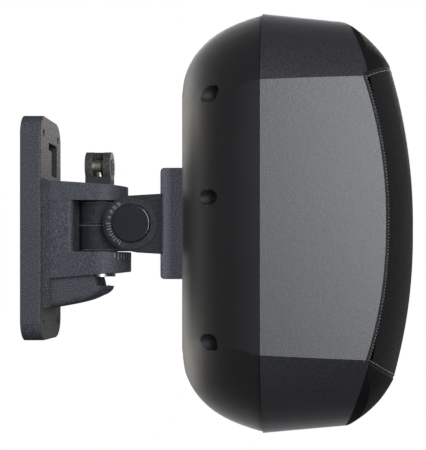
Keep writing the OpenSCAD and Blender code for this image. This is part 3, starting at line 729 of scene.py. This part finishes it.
        # Black over and under the grille: the bezel's own colour, and out to the crease line
        # painted shade.
        self.shop.line(front, BEZEL_AND_SHADE_PLASTIC, self._on_bezel_or_crease_shade)
        finishes = {
            "seam_gasket": RUBBER, "cabinet_screws": DARK_STEEL, "neck_screws": STEEL,
            "baffle": INNER_PLASTIC, "baffle_screws": DARK_STEEL, "woofer_frame": DARK_STEEL,
            "woofer_back_plate": STEEL, "woofer_magnet": FERRITE, "woofer_front_plate": STEEL,
            "voice_coil": COPPER, "woofer_cone": CONE_PULP, "dust_cap": CONE_PULP,
            "woofer_surround": RUBBER, "woofer_spider": SPIDER_CLOTH,
            "tweeter_plate": INNER_PLASTIC, "tweeter_dome": CONE_PULP,
            "tweeter_magnet": FERRITE, "port_tube": INNER_PLASTIC, "crossover_board": BOARD,
            "crossover_coils": COPPER, "crossover_capacitors": CAPACITOR_SLEEVE,
            "terminal_cup": INNER_PLASTIC, "binding_posts": BRASS,
        }
        for node, finish in finishes.items():
            self.shop.dress(node, finish)

    def _fill_corners(self, bm: bmesh.types.BMesh) -> None:
        """Make the rear shell's upper and lower back corners fuller."""
        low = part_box("rear_shell")[0].x
        for vert in bm.verts:
            back = min(max((self.seam_x - vert.co.x) / (self.seam_x - low), 0.0), 1.0)
            rise = vert.co.z - self.centre_z
            share = min(max((abs(rise) - self.corner_start) / self.corner_run, 0.0), 1.0)
            share = share * share * (3 - 2 * share)
            vert.co.z = self.centre_z + rise * (1 + self.corner_gain * back * back * share)

    def _shape_front(self, bm: bmesh.types.BMesh) -> None:
        """Set the front off its plain arc and part it on the crease line where the black begins:
        the bezel's own colour, and past the bezel painted shade of the crease.
        """
        for vert in bm.verts:
            share = (vert.co.x - self.seam_x) / (self.full_fill_x - self.seam_x)
            vert.co.x += self.fill(vert.co.z - self.centre_z) * min(max(share, 0.0), 1.0)
        for side in (-1, 1):
            bmesh.ops.bisect_plane(bm, geom=bm.verts[:] + bm.edges[:] + bm.faces[:],
                                   plane_co=(self.bezel_shade_start, 0, self.centre_z),
                                   plane_no=(1, 0, side * self.bezel_shade_lean))

    def _on_bezel_or_crease_shade(self, face: bpy.types.MeshPolygon) -> bool:
        """Whether a face takes the black over or under the grille: bezel plastic, carried out to
        the crease line as painted shade.
        """
        rise = abs(face.center.z - self.centre_z)
        return (face.center.x + self.bezel_shade_lean * rise > self.bezel_shade_start and
                rise > self.bezel_shade_low)

    def build(self) -> None:
        """Make and dress the whole cabinet."""
        self._dress()
        self._build_grille()


@dataclass
class Bracket:
    """Wall plate with its yoke, hood, clamp bolt and cam lever."""

    shop: Workshop
    edge: float = 0.9 * MM
    pan_x: float = 54 * MM
    arm_r: float = 24.5 * MM
    arm_top: float = -18.2 * MM
    barrel_z: float = 49.2 * MM
    barrel_r: float = 6 * MM
    cam_r: float = 11.6 * MM
    cam_half_w: float = 9.9 * MM
    slot_half_w: float = 4.1 * MM
    seat_half_d: float = 8.5 * MM
    seat_low: float = 33.9 * MM
    seat_gap: float = 0.3 * MM
    plate_face: tuple[float, float] = (14 * MM, 20 * MM)
    hood_root: float = 19.5 * MM
    hood_run: float = 47 * MM
    hood_bulge: float = 1.3 * MM
    hood_start: float = 45 * MM
    hood_end_run: float = 24.2 * MM
    hood_half_w: float = 20 * MM
    hood_pull: tuple[float, float] = (4.2 * MM, 8.0 * MM)
    underside: tuple[float, float] = (42 * MM, 12 * MM)
    tick_step: float = math.radians(7.5)
    tick_count: int = 7

    def build(self) -> None:
        """Round the castings' edges, make the cam's parts and dress the small ones."""
        yoke = self.shop.soften("wall_plate", "yoke_casting", self.edge, BRACKET_COAT,
                                Body.BRACKET, "bracket")
        # The cable slot's walls get near-black plastic: painted shade in the slot.
        self.shop.line(yoke, INNER_PLASTIC, self._in_cable_slot_shade)
        # The plate's front gets a lighter coat: painted highlight.
        self.shop.line(yoke, PLATE_FACE_LIGHT_COAT, self._on_plate_face_highlight)
        self.shop.soften("cable_hood", "hood_casting", self.edge, BRACKET_COAT, Body.BRACKET,
                         "bracket", reshape=self._round_hood)
        self.shop.soften("cam_lever", "lever_casting", self.edge, LEVER_COAT, Body.LEVER, "lever")
        self._build_saddle()
        self._build_lever_web()
        self._build_barrel_ends()
        self._build_pan_ticks()
        self.shop.dress("cam_barrel", PIN_METAL)
        self.shop.dress("pan_bolt", STEEL)
        for node in ("lower_washer", "upper_washer"):
            self.shop.dress(node, INNER_PLASTIC)

    def _on_plate_face_highlight(self, face: bpy.types.MeshPolygon) -> bool:
        """Whether a face is the wall plate's front, which takes a lighter coat as a painted
        highlight.
        """
        low, high = self.plate_face
        return face.normal.x > 0.8 and low < face.center.x < high

    @staticmethod
    def _in_cable_slot_shade(face: bpy.types.MeshPolygon) -> bool:
        """Whether a face lines the cable slot through the plate; these get near-black plastic as
        painted shade in the slot.
        """
        x, y, z = (value / MM for value in face.center)
        return x < 15.3 and -8.4 < y < 20.4 and 41.6 < z < 67.9 and abs(face.normal.x) < 0.5

    def _round_hood(self, bm: bmesh.types.BMesh) -> None:
        """Round the hood's open end in plan and let its underside bulge."""
        for axis, places in (((1, 0, 0), range(21, 69, 3)), ((0, 1, 0), range(-18, 19, 4))):
            for place in places:
                bmesh.ops.bisect_plane(bm, geom=bm.verts[:] + bm.edges[:] + bm.faces[:],
                                       plane_co=[a * place * MM for a in axis], plane_no=axis)
        for vert in bm.verts:
            x, y, z = vert.co
            along = min(max((x - self.hood_root) / self.hood_run, 0.0), 1.0)
            start, run = self.underside
            low = min(max((-z - start) / run, 0.0), 1.0)
            vert.co.z -= self.hood_bulge * low * math.sin(math.pi * along)
            past = max((x - self.hood_start) / self.hood_end_run, 0.0)
            middle, side = self.hood_pull
            vert.co.x -= past ** 1.5 * (middle + side * (abs(y) / self.hood_half_w) ** 2)

    def _build_saddle(self) -> None:
        """Black seat that the cam's lobes press on, hollow to their curve."""
        reach = self.cam_r + self.seat_gap
        turn = math.asin(self.seat_half_d / reach)
        steps = 14
        outline = [(-self.seat_half_d, self.seat_low), (self.seat_half_d, self.seat_low)]
        for k in range(steps + 1):
            a = turn - 2 * turn * k / steps
            outline.append((reach * math.sin(a), self.barrel_z - reach * math.cos(a)))
        seat = self.shop.swept("cam_saddle", outline, self.pan_x - self.cam_half_w,
                               self.pan_x + self.cam_half_w, INNER_PLASTIC)
        self.shop.place(seat, Body.BRACKET, "nylon", ["cam_seat"])

    def _build_lever_web(self) -> None:
        """Web that joins the lever's two lobes behind the barrel."""
        inner, outer = self.barrel_r + 0.5 * MM, self.cam_r - 0.3 * MM
        angles = [math.radians(-50 + 145 * k / 16) for k in range(17)]
        outline = [(outer * math.cos(a), self.barrel_z + outer * math.sin(a)) for a in angles]
        outline += [(inner * math.cos(a), self.barrel_z + inner * math.sin(a))
                    for a in reversed(angles)]
        web = self.shop.swept("lever_web", outline, self.pan_x - self.slot_half_w - 0.3 * MM,
                              self.pan_x + self.slot_half_w + 0.3 * MM, INNER_PLASTIC)
        self.shop.place(web, Body.LEVER, "lever")

    def _build_barrel_ends(self) -> None:
        """Dark end discs of the barrel, painted shade of its hollow end, each with two bright
        steel spots that paint the highlights on the end's rim.
        """
        for side in Side:
            x = self.pan_x + side.value * self.cam_half_w
            # The dark disc is painted shade; the two steel spots are painted highlights.
            for name, radius, rise, lift, finish in (
                    ("disc", self.barrel_r + 0.4 * MM, 0.0, 0.25 * MM, INNER_PLASTIC),
                    ("glint_top", 0.9 * MM, 3.9 * MM, 0.4 * MM, STEEL),
                    ("glint_low", 0.9 * MM, -3.9 * MM, 0.4 * MM, STEEL)):
                circle = [(radius * math.cos(math.radians(15 * k)),
                           self.barrel_z + rise + radius * math.sin(math.radians(15 * k)))
                          for k in range(24)]
                piece = self.shop.swept(f"barrel_{name}_{side.name.lower()}", circle,
                                        x - 0.2 * MM, x + side.value * lift, finish)
                self.shop.place(piece, Body.LEVER, "steel")

    def _build_pan_ticks(self) -> None:
        """Degree ticks round the end of the lower arm."""
        bm = bmesh.new()
        for k in range(-self.tick_count, self.tick_count + 1):
            turn = k * self.tick_step
            length = (4.6 if k % 2 == 0 else 3.4) * MM
            self._add_tick(bm, turn, self.arm_top - 0.9 * MM, length)
        bmesh.ops.recalc_face_normals(bm, faces=bm.faces)
        ticks = self.shop.from_mesh("pan_ticks", bm, MARK_PAINT)
        self.shop.place(ticks, Body.BRACKET, "bracket")

    def _add_tick(self, bm: bmesh.types.BMesh, turn: float, top: float, length: float) -> None:
        """Add one raised tick on the arm's round end."""
        corners = []
        for sink in (0.15 * MM, -0.12 * MM):
            r = self.arm_r - sink
            for dx, z in ((-0.32, top), (0.32, top), (0.32, top - length), (-0.32, top - length)):
                a = turn + dx * MM / self.arm_r
                corners.append(bm.verts.new((self.pan_x + r * math.cos(a), r * math.sin(a), z)))
        for face in ((4, 5, 6, 7), (0, 1, 5, 4), (1, 2, 6, 5), (2, 3, 7, 6), (3, 0, 4, 7)):
            bm.faces.new([corners[k] for k in face])


@dataclass
class TiltJoint:
    """Knuckle halves, fork, spindle, dials and caps."""

    shop: Workshop
    edge: float = 0.8 * MM
    neck_edge: float = 1.2 * MM
    block_d: float = 23.6 * MM
    tick_count: int = 9
    tick_step: float = math.radians(7.5)
    short_tick: float = 1.1 * MM
    number_step: float = math.radians(14)
    number_start: float = math.radians(16)
    tick_r: tuple[float, float] = (15.3 * MM, 18.9 * MM)
    number_r: float = 17.2 * MM
    number_h: float = 3.1 * MM
    tick_half_w: float = 0.24 * MM
    lift: float = 0.06 * MM

    def __post_init__(self) -> None:
        """Take the dials' place from the frame."""
        low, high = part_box("dial_ring_near")
        self.tilt_x = (low.x + high.x) / 2
        self.tilt_z = (low.z + high.z) / 2
        self.face_y = -low.y

    def build(self) -> None:
        """Round the castings' edges, mark the dials and dress the small parts."""
        # The clamp halves take a darker coat: painted shade under the upper arm.
        for half in ("upper", "lower"):
            self.shop.soften(f"knuckle_{half}", f"clamp_{half}", self.edge, KNUCKLE_SHADE_COAT,
                             Body.KNUCKLE, "bracket")
        # The neck's darker coat is painted shade.
        neck = self.shop.soften("tilt_neck", "neck_casting", self.neck_edge, NECK_SHADE_COAT,
                                Body.SPEAKER, "bracket")
        # The block has the neck's coat; its lighter copy here is painted light.
        block_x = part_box("tilt_neck")[1].x - self.block_d
        self.shop.line(neck, BLOCK_LIGHT_COAT, lambda face: face.center.x > block_x)
        for side in Side:
            self.shop.dress(f"dial_ring_{side.name.lower()}", DIAL_COAT)
            self.shop.dress(f"tilt_cap_{side.name.lower()}", CAP_PLASTIC)
            self._mark_dial(side)
        self.shop.dress("tilt_spindle", STEEL)

    def _on_dial(self, side: Side, turn: float, radius: float) -> Vector:
        """Point on a dial's face, with its angle down from the wall side."""
        return Vector((self.tilt_x - radius * math.cos(turn),
                       side.value * (self.face_y + self.lift),
                       self.tilt_z - radius * math.sin(turn)))

    def _mark_dial(self, side: Side) -> None:
        """Degree ticks under the level mark and plain numbers over it."""
        bm = bmesh.new()
        for k in range(self.tick_count):
            turn = self.tick_step * k
            inner, outer = self.tick_r
            outer -= self.short_tick * (k % 2)
            spread = Vector((math.sin(turn), 0.0, -math.cos(turn))) * self.tick_half_w
            ends = [self._on_dial(side, turn, r) for r in (inner, outer)]
            face = [ends[0] - spread, ends[1] - spread, ends[1] + spread, ends[0] + spread]
            corners = [bm.verts.new(point) for point in face]
            bm.faces.new(corners if side is Side.NEAR else reversed(corners))
        for number in range(4):
            self._add_number(bm, side, str(10 * number),
                             -self.number_start - self.number_step * number)
        marks = self.shop.from_mesh(f"dial_marks_{side.name.lower()}", bm, MARK_PAINT)
        self.shop.place(marks, Body.SPEAKER, "bracket")

    def _add_number(self, bm: bmesh.types.BMesh, side: Side, text: str, turn: float) -> None:
        """Add a plain number, upright towards the dial's middle."""
        curve = bpy.data.curves.new(f"number_{text}", "FONT")
        curve.body = text
        curve.size = self.number_h
        curve.align_x = curve.align_y = "CENTER"
        curve.resolution_u = 3
        writer = bpy.data.objects.new("number", curve)
        bpy.context.scene.collection.objects.link(writer)
        mesh = bpy.data.meshes.new_from_object(
            writer.evaluated_get(bpy.context.evaluated_depsgraph_get()))
        bpy.data.objects.remove(writer)
        middle = self._on_dial(side, turn, self.number_r)
        facing = Matrix(((-side.value, 0, 0, 0), (0, 0, side.value, 0), (0, 1, 0, 0),
                         (0, 0, 0, 1)))
        lean = side.value * (turn - math.radians(90))
        mesh.transform(Matrix.Translation(middle) @ facing @ Matrix.Rotation(lean, 4, "Z"))
        bm.from_mesh(mesh)
        bpy.data.meshes.remove(mesh)


@dataclass(frozen=True)
class Lamp:
    """One soft light: where it hangs, its width and height, watts and colour."""

    name: str
    place: tuple[float, float, float]
    size: tuple[float, float]
    power: float
    tint: Rgb
    reflects: bool = True


LAMPS = (
    Lamp("key", (1.0, -1.68, 0.5), (0.5, 1.9), 52.0, (0.94, 0.96, 1.0)),
    Lamp("rim", (0.25, 1.7, 0.6), (1.3, 0.7), 7.0, (1.0, 0.98, 0.94)),
    Lamp("left", (-1.45, 1.1, 0.0), (1.8, 2.0), 26.0, (1.0, 0.95, 0.88)),
    Lamp("fill", (-0.6, -1.6, 0.3), (1.0, 1.0), 20.0, (0.95, 0.97, 1.0), reflects=False),
)


@dataclass
class Studio:
    """Camera, lights, floor and backdrop."""

    scale: float = 0.79 * MM
    distance: float = 814 * MM
    picture: tuple[int, int] = (426, 450)
    vanishing: tuple[float, float] = (290.0, 276.0)
    origin_px: tuple[float, float] = (31.5, 229.3)
    sensor: float = 36.0
    middle: tuple[float, float, float] = (0.19, 0.0, 0.0)
    floor_z: float = -0.8
    floor_r: float = 1.1
    backdrop: tuple[float, float, float, float] = (0.4, 1.0, 0.05, 0.25)

    def place_camera(self) -> None:
        """Put the camera where the photograph was taken, square to the cabinet's side."""
        across = self.picture[1]
        camera = bpy.data.cameras.new("camera")
        camera.sensor_width = self.sensor
        camera.lens = self.sensor * self.distance / (across * self.scale)
        camera.shift_x = (self.picture[0] / 2 - self.vanishing[0]) / across
        camera.shift_y = (self.vanishing[1] - self.picture[1] / 2) / across
        eye = bpy.data.objects.new("camera", camera)
        eye.location = ((self.vanishing[0] - self.origin_px[0]) * self.scale, -self.distance,
                        (self.origin_px[1] - self.vanishing[1]) * self.scale)
        eye.rotation_euler = (math.pi / 2, 0.0, 0.0)
        bpy.context.scene.collection.objects.link(eye)
        bpy.context.scene.camera = eye

    def _hang(self, lamp: Lamp) -> None:
        """Hang a lamp that faces the cabinet's middle, unseen by the camera."""
        light = bpy.data.lights.new(lamp.name, "AREA")
        light.shape = "RECTANGLE"
        light.size, light.size_y = lamp.size
        light.energy = lamp.power
        light.color = lamp.tint
        hung = bpy.data.objects.new(lamp.name, light)
        hung.location = lamp.place
        aim = Vector(self.middle) - Vector(lamp.place)
        hung.rotation_euler = aim.to_track_quat("-Z", "Y").to_euler()
        hung.visible_camera = False
        hung.visible_glossy = lamp.reflects
        bpy.context.scene.collection.objects.link(hung)

    def light(self) -> None:
        """Hang the soft lights and set the pale surroundings."""
        for lamp in LAMPS:
            self._hang(lamp)
        world = bpy.data.worlds.new("surroundings")
        world.use_nodes = True
        nodes, links = world.node_tree.nodes, world.node_tree.links
        sky = nodes["Background"]
        sky.inputs["Color"].default_value = (1.0, 1.0, 1.0, 1.0)
        place = nodes.new("ShaderNodeTexCoord")
        parts = nodes.new("ShaderNodeSeparateXYZ")
        links.new(place.outputs["Generated"], parts.inputs[0])
        back = nodes.new("ShaderNodeMapRange")
        back.interpolation_type = "SMOOTHSTEP"
        for key, value in zip(("From Min", "From Max", "To Min", "To Max"), self.backdrop):
            back.inputs[key].default_value = value
        links.new(parts.outputs["Y"], back.inputs["Value"])
        path = nodes.new("ShaderNodeLightPath")
        strength = nodes.new("ShaderNodeMix")
        strength.inputs[3].default_value = 1.0
        links.new(path.outputs["Is Camera Ray"], strength.inputs[0])
        links.new(back.outputs["Result"], strength.inputs[2])
        links.new(strength.outputs[0], sky.inputs["Strength"])
        bpy.context.scene.world = world

    def lay_floor(self) -> None:
        """Lay a plain pale floor under the part."""
        bm = bmesh.new()
        bmesh.ops.create_circle(bm, cap_ends=True, segments=96, radius=self.floor_r)
        mesh = bpy.data.meshes.new("floor")
        bm.to_mesh(mesh)
        bm.free()
        floor = bpy.data.objects.new("floor", mesh)
        floor.location = (0.15, 0.0, self.floor_z)
        graph = Graph("floor_paint")
        mesh.materials.append(graph.shade(Base_Color=(0.86, 0.86, 0.86), Roughness=0.9))
        floor.visible_glossy = False
        floor.visible_diffuse = False
        bpy.context.scene.collection.objects.link(floor)

    def build(self) -> None:
        """Set up the whole studio."""
        self.place_camera()
        self.light()
        self.lay_floor()
        bpy.context.scene.view_settings.view_transform = "Standard"
        bpy.context.scene.view_settings.look = "None"


def main() -> None:
    """Build every sub-assembly in order."""
    logging.basicConfig(level=logging.INFO)
    shop = Workshop()
    Studio().build()
    Cabinet(shop).build()
    Bracket(shop).build()
    TiltJoint(shop).build()


if __name__ == "__main__":
    main()
